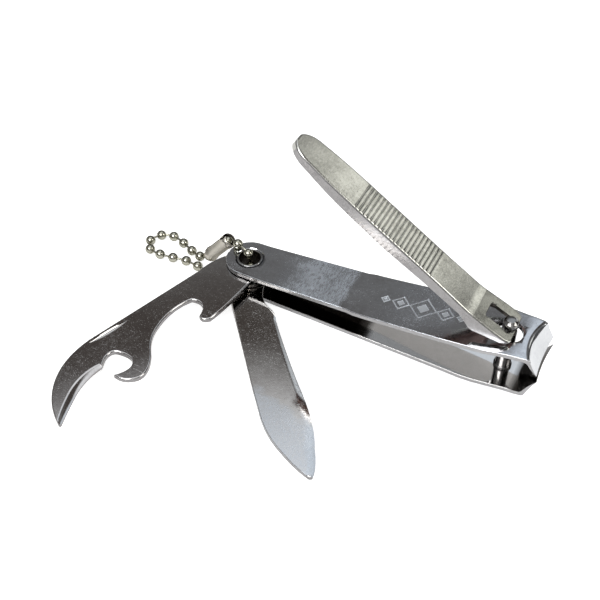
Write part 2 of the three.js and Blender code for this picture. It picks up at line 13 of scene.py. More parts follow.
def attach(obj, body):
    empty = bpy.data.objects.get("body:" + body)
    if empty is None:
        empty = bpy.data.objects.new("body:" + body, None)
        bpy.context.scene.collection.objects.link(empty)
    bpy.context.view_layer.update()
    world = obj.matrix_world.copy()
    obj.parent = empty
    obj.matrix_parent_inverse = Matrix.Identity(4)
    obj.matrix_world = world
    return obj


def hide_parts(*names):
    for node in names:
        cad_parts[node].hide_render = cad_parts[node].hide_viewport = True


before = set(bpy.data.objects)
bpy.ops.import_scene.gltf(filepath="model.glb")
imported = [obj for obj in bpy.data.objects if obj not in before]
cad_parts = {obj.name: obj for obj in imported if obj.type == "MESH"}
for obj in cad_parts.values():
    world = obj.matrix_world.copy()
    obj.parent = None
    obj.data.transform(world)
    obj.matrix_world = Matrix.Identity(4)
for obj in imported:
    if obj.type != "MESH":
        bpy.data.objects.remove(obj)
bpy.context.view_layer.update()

MM = 0.001
POST_X = 62.8  # from the eyelet's axis to the post's
FOOT_Z = -0.9  # the underside of the post's foot
TABLE_SLOPE = 0.027  # the clipper rests on the post's foot and on a strand of the chain


def place(point):
    """A point in clipper coordinates as one in the CAD's frame, in metres."""
    return Vector(((point[0] - POST_X) * MM, point[1] * MM, (point[2] - FOOT_Z) * MM))


def in_scene(name, data):
    obj = bpy.data.objects.new(name, data)
    bpy.context.scene.collection.objects.link(obj)
    return obj


# -------- camera

CAMERA_PLACE = (0.02645, -0.15165, 0.17419)
CAMERA_TILT = 44.1
CAMERA_HEADING = 26.64
CAMERA_LENS = 61.88


def make_camera():
    data = bpy.data.cameras.new("camera")
    data.lens = CAMERA_LENS
    data.clip_start = 0.005
    camera = in_scene("camera", data)
    camera.location = CAMERA_PLACE
    camera.rotation_euler = (radians(CAMERA_TILT), 0, radians(CAMERA_HEADING))
    bpy.context.scene.camera = camera


make_camera()


# -------- the chain's wire

CHAIN_CENTRES = [
    (-12.0, 1.8, 1.0), (-15.1, 1.7, -1.0), (-18.4, 3.2, -1.75), (-21.75, 4.8, -1.92),
    (-25.3, 5.95, -2.05), (-28.4, 5.05, -2.13), (-29.85, 2.2, -2.17), (-28.2, -0.6, -2.13),
    (-24.95, -1.15, -2.05), (-21.4, -0.85, -1.95), (-17.85, -0.45, -1.86), (-14.3, -0.9, -1.76),
    (-10.8, -1.4, -1.66), (-7.2, -1.3, -1.56), (-3.6, -0.8, -1.47), (-0.5, -0.2, -0.1),
    (0.1, 0.1, 3.4), (-0.7, 0.65, 6.85), (-4.1, 1.75, 7.6), (-7.35, 2.7, 6.5),
]
CHAIN_START = 16  # the ball in the middle of the eyelet's bore
BALL_R = 1.2
WIRE_R = 0.27


def smooth_route(points, steps):
    """A Catmull-Rom curve through the points, as a list with that many steps between them."""
    ends = [points[0] * 2 - points[1]] + points + [points[-1] * 2 - points[-2]]
    route = []
    for a, b, c, d in zip(ends, ends[1:], ends[2:], ends[3:]):
        for i in range(steps):
            t = i / steps
            route.append(0.5 * ((2 * b) + (c - a) * t + (2 * a - 5 * b + 4 * c - d) * t ** 2
                                + (3 * b - a - 3 * c + d) * t ** 3))
    return route + [points[-1]]


def chain_wire(material):
    """The wire through all the balls, as (object, where it starts, its length)."""
    order = CHAIN_CENTRES[CHAIN_START:] + CHAIN_CENTRES[:CHAIN_START]
    route = smooth_route([place(c) for c in order], 4)
    curve = bpy.data.curves.new("chain_wire", "CURVE")
    curve.dimensions = "3D"
    curve.bevel_depth = WIRE_R * MM
    curve.bevel_resolution = 3
    curve.use_fill_caps = True
    spline = curve.splines.new("POLY")
    spline.points.add(len(route) - 1)
    for point, spot in zip(spline.points, route):
        point.co = (*spot, 1)
    curve.materials.append(material)
    length = sum((b - a).length for a, b in zip(route, route[1:]))
    return in_scene("chain_wire", curve), route[0], length


# -------- materials

MIX_FACTOR, MIX_UNDER, MIX_OVER, MIX_RESULT = 0, 6, 7, 2  # a Mix node's sockets for colours


def set_inputs(node, values):
    for key, value in values.items():
        node.inputs[key].default_value = value


class Nodes:
    """Adds nodes to one tree. What goes into them is a number, a tuple of numbers or a socket."""

    def __init__(self, tree):
        self.tree = tree

    def add(self, kind, **settings):
        node = self.tree.nodes.new(kind)
        for key, value in settings.items():
            if key in node.inputs:
                node.inputs[key].default_value = value
            else:
                setattr(node, key, value)
        return node

    def join(self, source, target):
        self.tree.links.new(source, target)

    def ranged(self, value, low, high, out_low=0.0, out_high=1.0, interpolation="LINEAR"):
        """A value from low to high, moved to out_low to out_high and held there beyond them."""
        node = self.add("ShaderNodeMapRange", interpolation_type=interpolation)
        set_inputs(node, {"From Min": low, "From Max": high, "To Min": out_low, "To Max": out_high})
        self.join(value, node.inputs["Value"])
        return node.outputs["Result"]

    def combined(self, operation, a, b):
        node = self.add("ShaderNodeMath", operation=operation)
        for socket, value in zip(node.inputs, (a, b)):
            if isinstance(value, (int, float)):
                socket.default_value = value
            else:
                self.join(value, socket)
        return node.outputs[0]

    def plus(self, a, b):
        return self.combined("ADD", a, b)

    def times(self, a, b):
        return self.combined("MULTIPLY", a, b)

    def larger(self, a, b):
        return self.combined("MAXIMUM", a, b)

    def component(self, vector, way):
        """How far a vector reaches along the direction way."""
        node = self.add("ShaderNodeVectorMath", operation="DOT_PRODUCT")
        node.inputs[1].default_value = way
        self.join(vector, node.inputs[0])
        return node.outputs["Value"]

    def mixed(self, factor, under, over):
        node = self.add("ShaderNodeMix", data_type="RGBA")
        self.join(factor, node.inputs[MIX_FACTOR])
        for index, colour in ((MIX_UNDER, under), (MIX_OVER, over)):
            if isinstance(colour, tuple):
                node.inputs[index].default_value = (*colour, 1)
            else:
                self.join(colour, node.inputs[index])
        return node.outputs[MIX_RESULT]


def new_material(name, values):
    """A material with its nodes and its principled shader, whose inputs take the values."""
    material = bpy.data.materials.new(name)
    material.use_nodes = True
    shader = material.node_tree.nodes["Principled BSDF"]
    set_inputs(shader, values)
    return material, Nodes(material.node_tree), shader


ALONG_LEAF = (1, 0, 0)
ALONG_KNIFE = (-0.2, -0.98, 0)  # askew to the blade, because its painted sheen ends askew
# the colour of painted shade on the leaves' inner faces, near the eyelet and on the jaws
PAINTED_SHADE_COLOUR = (0.07, 0.065, 0.06)
# the lighter bluish colour of the painted sheen, a painted reflection
PAINTED_SHEEN_COLOUR = (0.74, 0.79, 0.85)
SHEEN_ROUGH = 0.30
SHEEN_WANDER = 1.12  # how far the painted sheen's first edge strays, in millimetres
SHEEN_SCRIBBLE, SHEEN_STROKES, SHEEN_EVEN = 0.34, 0.3, 0.36  # shares of its texture
LINE_ROUGH, LINE_BAND = 0.10, (0.74, 0.79)
PIT_ROUGH, PIT_DEPTH = 0.16, 0.55
BUMP_HEIGHT = 0.0000035


def metal(name, base, tint, rough, scratch=0.4, pits=0.6, haze=0.10, grain=0.35, painted_sheen=(),
          unshaded=None, rim=(1, 1, 1)):
    """A plated or polished metal. Lengths in its textures are in millimetres of the object.

    base and tint are the two colours its plating drifts between, rough the roughness of its plain
    parts, scratch the depth of its hairlines, pits how many small pits show, haze how much the
    wear clouds it, and grain the depth of its fine unevenness. painted_sheen lists the stretches
    that take a painted sheen, a lighter bluish veil that stands in for a reflection, and that are
    also rougher, as (way, start, end, strength, fade): start and end are in clipper coordinates
    along the direction way, and fade is the length that the painted sheen takes to set in.
    unshaded is the stretch of x outside which painted shade darkens it, and rim its grazing tint.
    """
    material, nodes, shader = new_material(name, {"Metallic": 1, "Specular Tint": (*rim, 1)})

    def mapped(vector, scale, turn=0.0):
        node = nodes.add("ShaderNodeMapping", Scale=scale, Rotation=(0, 0, radians(turn)))
        nodes.join(vector, node.inputs["Vector"])
        return node.outputs["Vector"]

    spot = mapped(nodes.add("ShaderNodeTexCoord").outputs["Object"], (1 / MM, 1 / MM, 1 / MM))

    def noise(scale, detail, roughness, vector=spot, distortion=0.0):
        node = nodes.add("ShaderNodeTexNoise", Scale=scale, Detail=detail, Roughness=roughness,
                         Distortion=distortion)
        nodes.join(vector, node.inputs["Vector"])
        return node.outputs["Fac"]

    def hairlines(turn, along_line, across):
        lines = noise(1.0, 1.0, 0.4, mapped(spot, (along_line, across, across), turn))
        return nodes.ranged(lines, *LINE_BAND)

    cloud = nodes.ranged(noise(0.16, 3.0, 0.55), 0.38, 0.66)
    mottle = nodes.ranged(noise(1.3, 3.0, 0.6), 0.35, 0.7)
    speck = nodes.ranged(noise(4.2, 1.0, 0.4), 0.70 - 0.06 * pits, 0.76)
    lines = nodes.larger(hairlines(24, 0.3, 2.6), hairlines(-52, 0.36, 3.0))
    colour = nodes.mixed(nodes.times(nodes.plus(cloud, mottle), 0.5), base, tint)
    roughness = nodes.plus(nodes.times(nodes.times(cloud, mottle), haze), rough)

    # painted shade: darker outside the unshaded stretch of x
    if unshaded:
        x = nodes.component(spot, ALONG_LEAF)
        start, end = unshaded[0] - POST_X, unshaded[1] - POST_X
        painted_shade = nodes.larger(nodes.ranged(x, start + 0.7, start - 0.9),
                             nodes.ranged(x, end - 0.8, end + 0.8))
        colour = nodes.mixed(painted_shade, colour, PAINTED_SHADE_COLOUR)

    # painted sheen: a lighter bluish veil over the stretches, a painted reflection, which also raises
    # the roughness there
    if painted_sheen:
        wander = nodes.ranged(noise(0.35, 2.0, 0.5), 0.3, 0.7, -SHEEN_WANDER, SHEEN_WANDER)
        sheen_veil = 0.0
        for way, start, end, strength, fade in painted_sheen:
            run = nodes.plus(nodes.component(spot, way), POST_X * way[0])
            onset = nodes.ranged(nodes.plus(run, wander), start, start + fade, 0.0, strength)
            sheen_veil = nodes.plus(nodes.times(onset, nodes.ranged(run, end + 0.7, end - 0.7)), sheen_veil)
        scribble = nodes.ranged(noise(2.2, 5.0, 0.8, distortion=1.8), 0.38, 0.64)
        strokes = nodes.ranged(noise(1.0, 2.0, 0.6, mapped(spot, (3.4, 0.9, 0.9), 8)), 0.42, 0.6)
        texture = nodes.plus(nodes.times(scribble, SHEEN_SCRIBBLE),
                             nodes.times(strokes, SHEEN_STROKES))
        sheen_veil = nodes.times(sheen_veil, nodes.plus(texture, SHEEN_EVEN))
        colour = nodes.mixed(sheen_veil, colour, PAINTED_SHEEN_COLOUR)
        roughness = nodes.plus(roughness, nodes.times(sheen_veil, SHEEN_ROUGH))

    roughness = nodes.plus(roughness, nodes.times(lines, LINE_ROUGH))
    roughness = nodes.plus(roughness, nodes.times(speck, PIT_ROUGH))
    height = nodes.plus(nodes.times(lines, -scratch), nodes.times(speck, -PIT_DEPTH * pits))
    height = nodes.plus(height, nodes.times(noise(2.6, 2.0, 0.5), grain))
    bump = nodes.add("ShaderNodeBump", Strength=1.0, Distance=BUMP_HEIGHT)
    nodes.join(height, bump.inputs["Height"])
    nodes.join(colour, shader.inputs["Base Color"])
    nodes.join(roughness, shader.inputs["Roughness"])
    nodes.join(bump.outputs["Normal"], shader.inputs["Normal"])
    return material


PLATED = dict(base=(0.50, 0.50, 0.515), tint=(0.68, 0.70, 0.73), rough=0.07, scratch=0.6,
              pits=0.8, haze=0.14)
LEVER_TOP = dict(scratch=0.6, pits=1.5, grain=1.9)

CHROME = metal("chrome_leaf", **PLATED)
# the upper leaf's outer face, with a painted sheen, a painted reflection, over two rougher stretches
CHROME_PAINTED_SHEEN = metal("chrome_painted_sheen", **PLATED, painted_sheen=[(ALONG_LEAF, 7.5, 26.0, 1.0, 7.0),
                                                    (ALONG_LEAF, 32.0, 51.0, 0.55, 7.0)])
# the leaves' inner faces, with painted shade outside x 30.6 to 66.5, near the eyelet and on the jaws
CHROME_INSIDE = metal("chrome_inside", (0.62, 0.61, 0.60), (0.66, 0.65, 0.64), rough=0.05,
                      scratch=0.3, pits=0.3, haze=0.06, grain=0.2, unshaded=(30.6, 66.5))
CHROME_JAW = metal("chrome_jaw", (0.70, 0.71, 0.73), (0.80, 0.81, 0.82), rough=0.06,
                   grain=0.3)
# the leaves' sides: a rougher sheared finish, and a darker colour that is painted shade
SHEARED_AND_SHADED = metal("sheared_and_shaded_edge", (0.36, 0.355, 0.36), (0.48, 0.475, 0.48), rough=0.2,
                scratch=0.3, haze=0.12, grain=0.6)
ENGRAVED = metal("engraved_mark", (0.90, 0.93, 0.96), (0.84, 0.87, 0.90), rough=0.42,
                 scratch=0.3, pits=0.5, grain=1.0)
POLISHED = metal("polished_tool_steel", (0.52, 0.50, 0.49), (0.66, 0.65, 0.64), rough=0.05,
                 scratch=0.7, pits=1.0, haze=0.07, grain=0.3)
# the blade's lower part takes a painted sheen, a painted reflection, and is rougher there
KNIFE_STEEL = metal("knife_steel", (0.52, 0.50, 0.48), (0.66, 0.65, 0.63), rough=0.05,
                    scratch=0.8, pits=1.3, haze=0.07, grain=0.3,
                    painted_sheen=[(ALONG_KNIFE, 26.4, 61.0, 0.8, 1.6)])
# the tools' sides, darker than their faces: painted shade
TOOL_SIDE_SHADE = metal("tool_side", (0.26, 0.25, 0.25), (0.36, 0.35, 0.35), rough=0.16,
                  scratch=0.3, pits=0.5, grain=0.5)
BRIGHT = metal("bright_fastener", (0.30, 0.30, 0.30), (0.40, 0.39, 0.38), rough=0.12)
POST_SHADED = metal("post_shaded", (0.10, 0.10, 0.10), (0.15, 0.14, 0.14), rough=0.12)
POST = metal("pivot_post_steel", (0.24, 0.235, 0.23), (0.34, 0.33, 0.32), rough=0.09)
# near black: painted shade in the eyelet's bore, the lever's slot, the nail nick and inside the
# connector
RECESS_SHADE = metal("painted_recess_shade", (0.05, 0.045, 0.04), (0.09, 0.08, 0.07), rough=0.35,
                  scratch=0.3, pits=0.5)
SATIN = metal("satin_nickel_lever", (0.64, 0.64, 0.60), (0.50, 0.50, 0.46), rough=0.15,
              **LEVER_TOP)
# a darker copy of the lever's top for its front leg: painted shade
SATIN_FRONT_SHADE = metal("lever_front_painted_shade", (0.40, 0.40, 0.37), (0.27, 0.27, 0.245), rough=0.17, **LEVER_TOP)
# the lever's flanks, darker than its top: painted shade
SATIN_SIDE_SHADE = metal("lever_side", (0.40, 0.39, 0.39), (0.31, 0.30, 0.30), rough=0.24,
                   pits=0.4, haze=0.08, grain=0.5)
# the channel's underside, dark reddish brown: painted shade under the lever
SATIN_UNDERSIDE_SHADE = metal("lever_underside_shade", (0.16, 0.11, 0.10), (0.26, 0.17, 0.15), rough=0.34,
                     scratch=0.5, pits=0.8, haze=0.12, grain=1.0)
NICKEL = metal("nickel_chain", (0.50, 0.49, 0.41), (0.42, 0.41, 0.34), rough=0.12,
               pits=0.8, haze=0.12, grain=0.4, rim=(0.30, 0.29, 0.24))
NICKEL_DULL = metal("nickel_connector", (0.62, 0.59, 0.52), (0.54, 0.51, 0.45), rough=0.30,
                    scratch=0.6, pits=0.8, haze=0.12, grain=1.0, rim=(0.40, 0.38, 0.34))


# -------- numbers and outlines

def ramp(x, start, end):
    """The integral of a ramp that rises from 0 at start to 1 at end."""
    if x <= start:
        return 0.0
    if x >= end:
        return x - (start + end) / 2
    return (x - start) ** 2 / (2 * (end - start))


def along(pairs, spot):
    """Linear interpolation in a list of (place, value) pairs."""
    if spot <= pairs[0][0]:
        return pairs[0][1]
    for (a, va), (b, vb) in zip(pairs, pairs[1:]):
        if spot <= b:
            return va + (vb - va) * (spot - a) / (b - a)
    return pairs[-1][1]


def spread(low, high, count):
    return [low + (high - low) * i / (count - 1) for i in range(count)]


def arc(cx, cz, radius, start, end, count):
    return [(cx + radius * cos(radians(a)), cz + radius * sin(radians(a)))
            for a in spread(start, end, count)]


def outline_points(start, stretches, steps):
    """Points of an outline whose stretches are an end point, or a (control, end) pair."""
    points = [start]
    for stretch in stretches:
        here = points[-1]
        if isinstance(stretch[0], tuple):
            control, end = stretch
            for i in range(1, steps + 1):
                t = i / steps
                points.append(tuple((1 - t) ** 2 * a + 2 * t * (1 - t) * b + t * t * c
                                    for a, b, c in zip(here, control, end)))
        else:
            points.append(stretch)
    if dist(points[0], points[-1]) < 1e-6:
        points.pop()
    return points


# -------- mesh helpers

BOX_FACES = [(0, 1, 3, 2), (4, 6, 7, 5), (0, 4, 5, 1), (2, 3, 7, 6), (0, 2, 6, 4), (1, 5, 7, 3)]
DRILL_SIDES = 64
SHARP_ANGLE = 42.0  # faces that meet at more than this keep a sharp edge between them


def mesh_object(name, points, faces):
    mesh = bpy.data.meshes.new(name)
    mesh.from_pydata([place(p) for p in points], [], faces)
    shape = bmesh.new()
    shape.from_mesh(mesh)
    bmesh.ops.recalc_face_normals(shape, faces=shape.faces)
    shape.to_mesh(mesh)
    shape.free()
    return in_scene(name, mesh)


def bake_modifiers(obj):
    depsgraph = bpy.context.evaluated_depsgraph_get()
    mesh = bpy.data.meshes.new_from_object(obj.evaluated_get(depsgraph))
    obj.modifiers.clear()
    old = obj.data
    obj.data = mesh
    bpy.data.meshes.remove(old)


def carve(obj, cutters):
    """Cuts the cutters out of an object, and deletes them."""
    for cutter in cutters:
        modifier = obj.modifiers.new("carve", "BOOLEAN")
        modifier.operation = "DIFFERENCE"
        modifier.solver = "EXACT"
        modifier.object = cutter
        bake_modifiers(obj)
        mesh = cutter.data
        bpy.data.objects.remove(cutter)
        bpy.data.meshes.remove(mesh)


def soften(obj, width, angle):
    """Rounds the edges that are sharper than the angle, by a bevel of that width in millimetres."""
    bevel = obj.modifiers.new("edges", "BEVEL")
    bevel.width = width * MM
    bevel.segments = 2
    bevel.limit_method = "ANGLE"
    bevel.angle_limit = radians(angle)
    bevel.miter_outer = "MITER_ARC"
    bake_modifiers(obj)


def finish_piece(obj, material, body, node, parts=()):
    """parts lists (material, test) pairs: a face whose centre and normal pass the test takes it."""
    mesh = obj.data
    mesh.materials.clear()
    mesh.materials.append(material)
    for index, (other, test) in enumerate(parts, 1):
        mesh.materials.append(other)
        for polygon in mesh.polygons:
            centre = polygon.center / MM + Vector((POST_X, 0, FOOT_Z))
            if test(centre, polygon.normal):
                polygon.material_index = index
    mesh.polygons.foreach_set("use_smooth", [True] * len(mesh.polygons))
    mesh.set_sharp_from_angle(angle=radians(SHARP_ANGLE))
    weighted = obj.modifiers.new("normals", "WEIGHTED_NORMAL")
    weighted.keep_sharp = True
    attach(obj, body)
    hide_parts(node)
    return obj


def ring_faces(rings, count, looped=False):
    """Faces between rings of points, closed by flat ends or, if looped, by joining last to first."""
    faces = []
    for r in range(rings - 1):
        for c in range(count):
            n = (c + 1) % count
            faces.append((r * count + c, r * count + n, (r + 1) * count + n, (r + 1) * count + c))
    last = (rings - 1) * count
    if looped:
        faces += [(last + c, last + (c + 1) % count, (c + 1) % count, c) for c in range(count)]
    else:
        faces += [tuple(range(count)), tuple(last + c for c in range(count))]
    return faces


def round_points(section, count):
    """Rings about the z axis, one for each (radius, z) pair of the section."""
    return [(r * cos(2 * pi * c / count), r * sin(2 * pi * c / count), z)
            for r, z in section for c in range(count)]


def turned(name, section, x, count):
    """A round body about a vertical line, from its half section as (radius, z) pairs.

    A section that starts and ends on the same point makes a ring, and any other one is closed by
    flat ends.
    """
    ring = section[0] == section[-1]
    rows = section[:-1] if ring else section
    points = [(x + px, py, z) for px, py, z in round_points(rows, count)]
    return mesh_object(name, points, ring_faces(len(rows), count, looped=ring))


def drill(x, radius, low, high):
    return turned("drill", [(radius, low), (radius, high)], x, DRILL_SIDES)


def countersink(x, bore, start, depth, widen, way):
    """A cone that widens a bore from start onwards, up (way 1) or down (way -1)."""
    past = depth + 0.4
    section = [(bore, start), (bore + past * widen / depth, start + way * past)]
    return turned("countersink", section, x, DRILL_SIDES)


def box_corners(low, high):
    return [(x, y, z) for x in (low[0], high[0]) for y in (low[1], high[1])
            for z in (low[2], high[2])]


def rounded_plate(name, outline, low, high, top_radius, low_radius):
    """A plate whose rims are rounded by the two radii. The outline runs counter-clockwise."""
    inward = []
    for before, here, after in zip(outline[-1:] + outline, outline, outline[1:] + outline[:1]):
        first = Vector((before[1] - here[1], here[0] - before[0])).normalized()
        second = Vector((here[1] - after[1], after[0] - here[0])).normalized()
        middle = (first + second).normalized()
        inward.append(middle / max(middle.dot(first), 0.75))
    rows = [(low_radius, low), (0.3 * low_radius, low + 0.3 * low_radius), (0, low + low_radius)]
    for turn in (0, 22, 45, 68, 90):
        a = radians(turn)
        rows.append((top_radius * (1 - cos(a)), high - top_radius * (1 - sin(a))))
    points = [(x + way.x * inset, y + way.y * inset, z)
              for inset, z in rows for (x, y), way in zip(outline, inward)]
    return mesh_object(name, points, ring_faces(len(rows), len(outline)))


def slab(name, outer, inner):
    """A closed slab between two grids of points, outer[row][column] and inner[row][column]."""
    rows, columns = len(outer), len(outer[0])
    points = [p for grid in (outer, inner) for row in grid for p in row]

    def at(side, row, column):
        return (side * rows + row) * columns + column

    faces = []
    for r in range(rows - 1):
        for c in range(columns - 1):
            faces.append((at(0, r, c), at(0, r, c + 1), at(0, r + 1, c + 1), at(0, r + 1, c)))
            faces.append((at(1, r, c), at(1, r + 1, c), at(1, r + 1, c + 1), at(1, r, c + 1)))
        for c in (0, columns - 1):
            faces.append((at(0, r, c), at(0, r + 1, c), at(1, r + 1, c), at(1, r, c)))
    for r in (0, rows - 1):
        for c in range(columns - 1):
            faces.append((at(0, r, c), at(1, r, c), at(1, r, c + 1), at(0, r, c + 1)))
    return mesh_object(name, points, faces)


# -------- the leaves

LEAF_THICK = 1.1
LEAF_REAR_R = 5.6
LEAF_MAX_W = 7.3
JAW_W = 5.95
STEP_X = 28.5
STEP_OUT = 0.25
UPPER_TOP_Z = 6.35
CREASE_BOW = 1.35
EDGE_BOW = 0.4
OUTER_RIM_R = 0.2
INNER_RIM_R = 0.12
RIM_TURNS = (0, 18, 36, 54, 72, 90)
INNER_COLUMNS = spread(-1, 1, 23)[1:-1]
EYELET_HOLE_R = 2.85
EYELET_SINK, EYELET_FLARE = 0.6, 0.62
UPPER_POST_HOLE_R = 3.05
LOWER_POST_HOLE_R = 1.82
LOZENGES = ((34.6, 1.2), (38.2, 2.2), (43.4, 3.3), (48.6, 2.2), (52.2, 1.2))  # (x, half length)
LOZENGE_DEPTH = 0.13
LOZENGE_FRAME = 0.5


def upper_top(x):
    """The height of the upper leaf's outer face. Its rear end droops a little, clear of the chain."""
    rear_droop = 0.015 * max(-x, 0)
    rise = 0.06 * ramp(x, 0, 5) + 0.054 * ramp(x, 26, 36) - 0.07 * ramp(x, 58, 66)
    return UPPER_TOP_Z - rear_droop + rise


def leaf_half_width(x, stepped):
    if x < 0:
        return sqrt(max(LEAF_REAR_R ** 2 - x ** 2, 0.01))
    step = along([(STEP_X - 0.8, 0), (STEP_X + 0.8, STEP_OUT)], x) if stepped else 0
    plain = along([(0, LEAF_REAR_R), (STEP_X, 6.4), (51, 7.1), (55.5, LEAF_MAX_W), (58, 7.2),
                   (64.5, 6.4), (68, JAW_W + 0.1), (71, JAW_W)], x)
    return min(plain + step, LEAF_MAX_W)


def leaf_rim(width, face_at, back_at, radius):
    """The rounded rim of one row on one face, from the side inwards, as (x, y, z) points.

    face_at and back_at give the (x, z) of the row's two faces at a share of its half width.
    """
    face, back = face_at(1), back_at(1)
    thick = max(dist(face, back), 0.01)
    radius = min(radius, 0.4 * thick)
    points = []
    for turn in RIM_TURNS:
        a = radians(turn)
        deep = radius * (1 - sin(a)) / thick
        inset = radius * (1 - cos(a))
        x = face[0] + (back[0] - face[0]) * deep
        z = face[1] + (back[1] - face[1]) * deep
        shrink = 1 - inset / LEAF_REAR_R if face[0] < 0 else 1
        y = width * shrink if face[0] < 0 else width - inset
        points.append((x * shrink, y, z))
    return points


def leaf_row(width, face_at, back_at, radius):
    side = leaf_rim(width, face_at, back_at, radius)
    last = side[-1][1]
    shrink = last / width if face_at(0)[0] < 0 else 1
    middle = [(face_at(s)[0] * shrink, s * last, face_at(s)[1]) for s in INNER_COLUMNS]
    return [(x, -y, z) for x, y, z in side] + middle + side[::-1]


def leaf(name, outer_z, inward, stepped, crease_x, edge_x, edge_z):
    """A sprung leaf with its jaw turned inwards, up (inward 1) or down (inward -1).

    outer_z gives the height of its outer face, which bends over at the crease and ends in the
    cutting edge. Both lines reach further forward at the sides than in the middle.
    """
    outer, inner = [], []

    def add_row(width, outer_at, inner_at):
        outer.append(leaf_row(width, outer_at, inner_at, OUTER_RIM_R))
        inner.append(leaf_row(width, inner_at, outer_at, INNER_RIM_R))

    def plain_row(x):
        slope = atan2(outer_z(x + 0.1) - outer_z(x - 0.1), 0.2)
        top = (x, outer_z(x))
        under = (x - inward * sin(slope) * LEAF_THICK, top[1] + inward * cos(slope) * LEAF_THICK)
        add_row(leaf_half_width(x, stepped), lambda s: top, lambda s: under)

    for turn in range(3, 90, 3):
        plain_row(-LEAF_REAR_R * cos(radians(turn)))
    for x in spread(0, 26, 20) + [27, STEP_X - 0.8, STEP_X + 0.8, 30] + spread(31, 65, 26):
        plain_row(x)

    crease_z = outer_z(crease_x)
    drop = abs(crease_z - edge_z)

    def near_crease(back, deep, bow=CREASE_BOW):
        return lambda s: (crease_x - back + bow * s ** 2, crease_z + inward * deep)

    def on_face(down, thick):
        def spot(s):
            run = edge_x - crease_x - (CREASE_BOW - EDGE_BOW) * s ** 2
            tilt = atan2(drop, run)
            x = crease_x + CREASE_BOW * s ** 2 + run * down - 0.14 * sin(pi * down)
            z = crease_z + inward * (drop * down + cos(tilt) * thick)
            return (x - sin(tilt) * thick, z)
        return spot

    bend_width = leaf_half_width(crease_x, stepped)
    edge_width = leaf_half_width(edge_x, stepped)
    add_row(bend_width + 0.15, near_crease(1.7, 0, 0.9), near_crease(1.7, LEAF_THICK, 0.9))
    for back, deep, back_in, extra in ((0.95, 0, 1.2, 0), (0.66, 0.02, 1.1, 0.01),
                                       (0.4, 0.07, 1.0, 0.03), (0.17, 0.17, 0.9, 0.06)):
        add_row(bend_width, near_crease(back, deep), near_crease(back_in, LEAF_THICK + extra))
    add_row(bend_width, on_face(0.1, 0), on_face(0.24, 0.92))
    for down, thick in ((0.3, 0.8), (0.45, 0.7), (0.6, 0.58), (0.75, 0.42), (0.88, 0.27)):
        width = bend_width + (edge_width - bend_width) * down
        add_row(width, on_face(down, 0), on_face(down + 0.1 * (1 - down), thick))
    add_row(edge_width, on_face(1, 0), on_face(1, 0.14))
    return slab(name, outer, inner)


def lozenge_cutter(x, outside, inside):
    """A cutter for a lozenge in the upper leaf, or for the frame of one where inside isn't 0."""
    lean = atan2(upper_top(x + 1) - upper_top(x - 1), 2)
    points = []
    for z in (-LOZENGE_DEPTH, 1.0):
        for size in (outside, inside) if inside else (outside,):
            for dx, dy in ((-1, 0), (0, -1), (1, 0), (0, 1)):
                run = dx * size
                points.append((x + run * cos(lean) - z * sin(lean), dy * size,
                               upper_top(x) + run * sin(lean) + z * cos(lean)))
    if not inside:
        return mesh_object("lozenge", points, ring_faces(2, 4))
    faces = []
    for c in range(4):
        n = (c + 1) % 4
        faces += [(c, n, 4 + n, 4 + c), (8 + c, 12 + c, 12 + n, 8 + n),
                  (c, 8 + c, 8 + n, n), (4 + c, 4 + n, 12 + n, 12 + c)]
    return mesh_object("lozenge", points, faces)


def upper_leaf():
    obj = leaf("upper_leaf", upper_top, inward=-1, stepped=True, crease_x=68.0, edge_x=70.95,
               edge_z=7.95)
    post_top = upper_top(POST_X)
    carve(obj, [drill(0, EYELET_HOLE_R, UPPER_TOP_Z - 3, UPPER_TOP_Z + 2),
                countersink(0, EYELET_HOLE_R, UPPER_TOP_Z - EYELET_SINK, EYELET_SINK,
                            EYELET_FLARE, 1),
                drill(POST_X, UPPER_POST_HOLE_R, post_top - 4, post_top + 3),
                countersink(POST_X, UPPER_POST_HOLE_R, post_top - 0.2, 0.2, 0.2, 1)])
    for x, reach in LOZENGES:
        carve(obj, [lozenge_cutter(x, reach, reach - LOZENGE_FRAME),
                    lozenge_cutter(x, 0.45 * reach, 0)])
    return obj


def lower_leaf():
    obj = leaf("lower_leaf", lambda x: 0.0, inward=1, stepped=False, crease_x=68.1, edge_x=71.26,
               edge_z=5.85)
    carve(obj, [drill(0, EYELET_HOLE_R, -2, 3),
                countersink(0, EYELET_HOLE_R, EYELET_SINK, EYELET_SINK, EYELET_FLARE, -1),
                drill(POST_X, LOWER_POST_HOLE_R, -2, 3)])
    return obj


# -------- eyelet, washer and post

EYELET_BORE_R = 2.45
WASHER_LOW, WASHER_HIGH = 2.75, 3.55
WASHER_BORE_R, WASHER_R = 3.0, 5.0
FOOT_R = 2.6
SHAFT_R = 1.7
COLLAR_R = 2.0
POST_TOP_Z = 15.3
NOTCH_LOW, NOTCH_HIGH = 11.9, 13.5


def eyelet():
    top = UPPER_TOP_Z
    section = [(EYELET_BORE_R, 0.1)]
    section += arc(2.7, 0.02, 0.2, 180, 270, 5) + arc(2.87, 0.0, 0.18, 270, 380, 6)
    section += [(2.72, 0.6), (2.72, top - 0.6)]
    section += arc(2.85, top - 0.06, 0.2, -10, 90, 7) + arc(2.68, top - 0.05, 0.19, 90, 175, 6)
    section += [(EYELET_BORE_R, top - 0.3), (EYELET_BORE_R, 0.1)]
    return turned("eyelet", section, 0, 72)


def washer():
    low, high, rim = WASHER_LOW, WASHER_HIGH, WASHER_R - 0.1
    section = [(WASHER_BORE_R, low), (rim, low), (WASHER_R, low + 0.1), (WASHER_R, high - 0.1),
               (rim, high), (WASHER_BORE_R, high), (WASHER_BORE_R, low)]
    return turned("washer", section, 0, 64)


